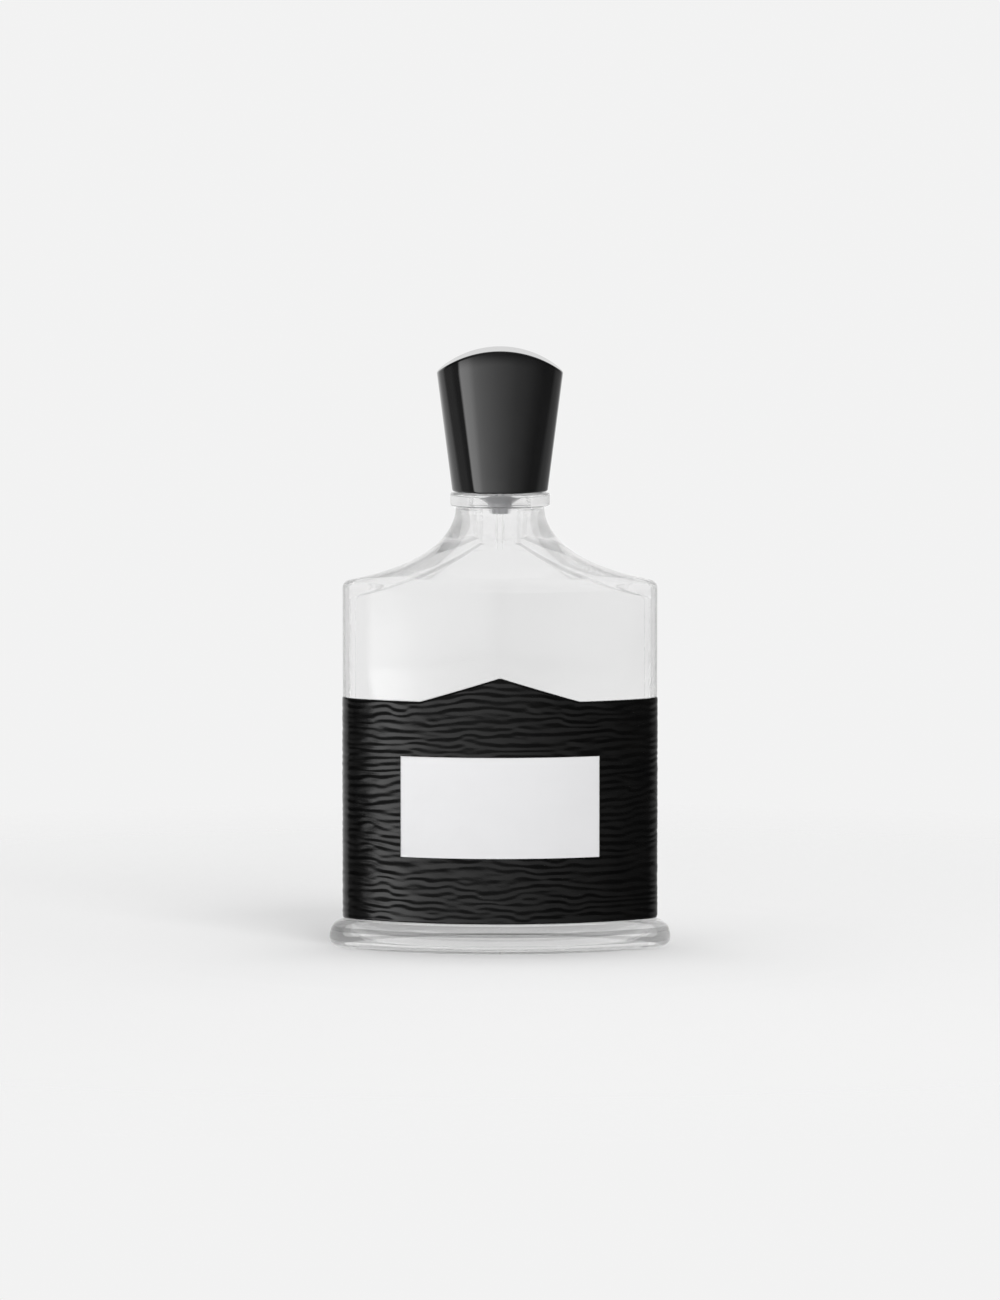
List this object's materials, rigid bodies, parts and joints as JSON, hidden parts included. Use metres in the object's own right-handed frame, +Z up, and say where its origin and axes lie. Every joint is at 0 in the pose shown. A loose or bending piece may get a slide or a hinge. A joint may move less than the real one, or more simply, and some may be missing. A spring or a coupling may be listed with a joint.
{
  "type": "aftershave bottle",
  "caption": "Flat clear glass spray bottle with a flared foot, a black leather wrap with a blank metal plate, a crimped pump sprayer and a tall black push-on cap.",
  "frame": {"origin": "middle of the base, on the surface the bottle stands on", "axes": "+Z up along the neck and cap, -Y out of the front face with the plate, +X to the right as the front is seen"},
  "size_m": [0.0772, 0.0402, 0.135],
  "materials": {
    "glass": "clear, fire polished",
    "liquid": "clear, colourless liquid",
    "backing_film": "white film",
    "leather": "black, horizontal wavy grain, satin",
    "plate_metal": "bare, satin",
    "gasket_rubber": "matte",
    "pump_plastic": "grey, moulded",
    "tube_plastic": "clear",
    "steel": "bright",
    "collar_metal": "bright anodised",
    "button_plastic": "natural white",
    "cap_plastic": "polished black",
    "liner_plastic": "black"
  },
  "bodies": {
    "bottle": {"glass_bottle": "glass", "aftershave_liquid": "liquid", "wrap_backing": "backing_film", "leather_wrap": "leather", "front_plate": "plate_metal", "neck_gasket": "gasket_rubber", "pump_housing": "pump_plastic", "dip_tube": "tube_plastic", "return_spring": "steel", "stem_seal": "gasket_rubber", "ferrule": "collar_metal", "collar": "collar_metal"},
    "pump_stem": {"stem": "pump_plastic", "piston": "pump_plastic"},
    "spray_button": {"actuator_core": "button_plastic", "actuator_shell": "collar_metal", "nozzle_insert": "button_plastic"},
    "valve_ball": {"inlet_ball": "steel"},
    "cap": {"cap_shell": "cap_plastic", "cap_weight": "steel", "cap_liner": "liner_plastic"}
  },
  "joints": [
    {"name": "cap_lift", "type": "slide", "parent": "bottle", "child": "cap", "axis": [0, 0, 1], "range_m": [0, 0.035]},
    {"name": "spray_press", "type": "slide", "parent": "bottle", "child": "pump_stem", "axis": [0, 0, -1], "range_m": [0, 0.0038], "stiffness_N_per_m": 1500, "springref_m": -0.006, "deforming": ["return_spring"]},
    {"name": "actuator_swivel", "type": "hinge", "parent": "pump_stem", "child": "spray_button", "pos_m": [0, 0, 0.1179], "axis": [0, 0, 1], "continuous": true},
    {"name": "ball_lift", "type": "slide", "parent": "bottle", "child": "valve_ball", "axis": [0, 0, 1], "range_m": [0, 0.0006]}
  ]
}
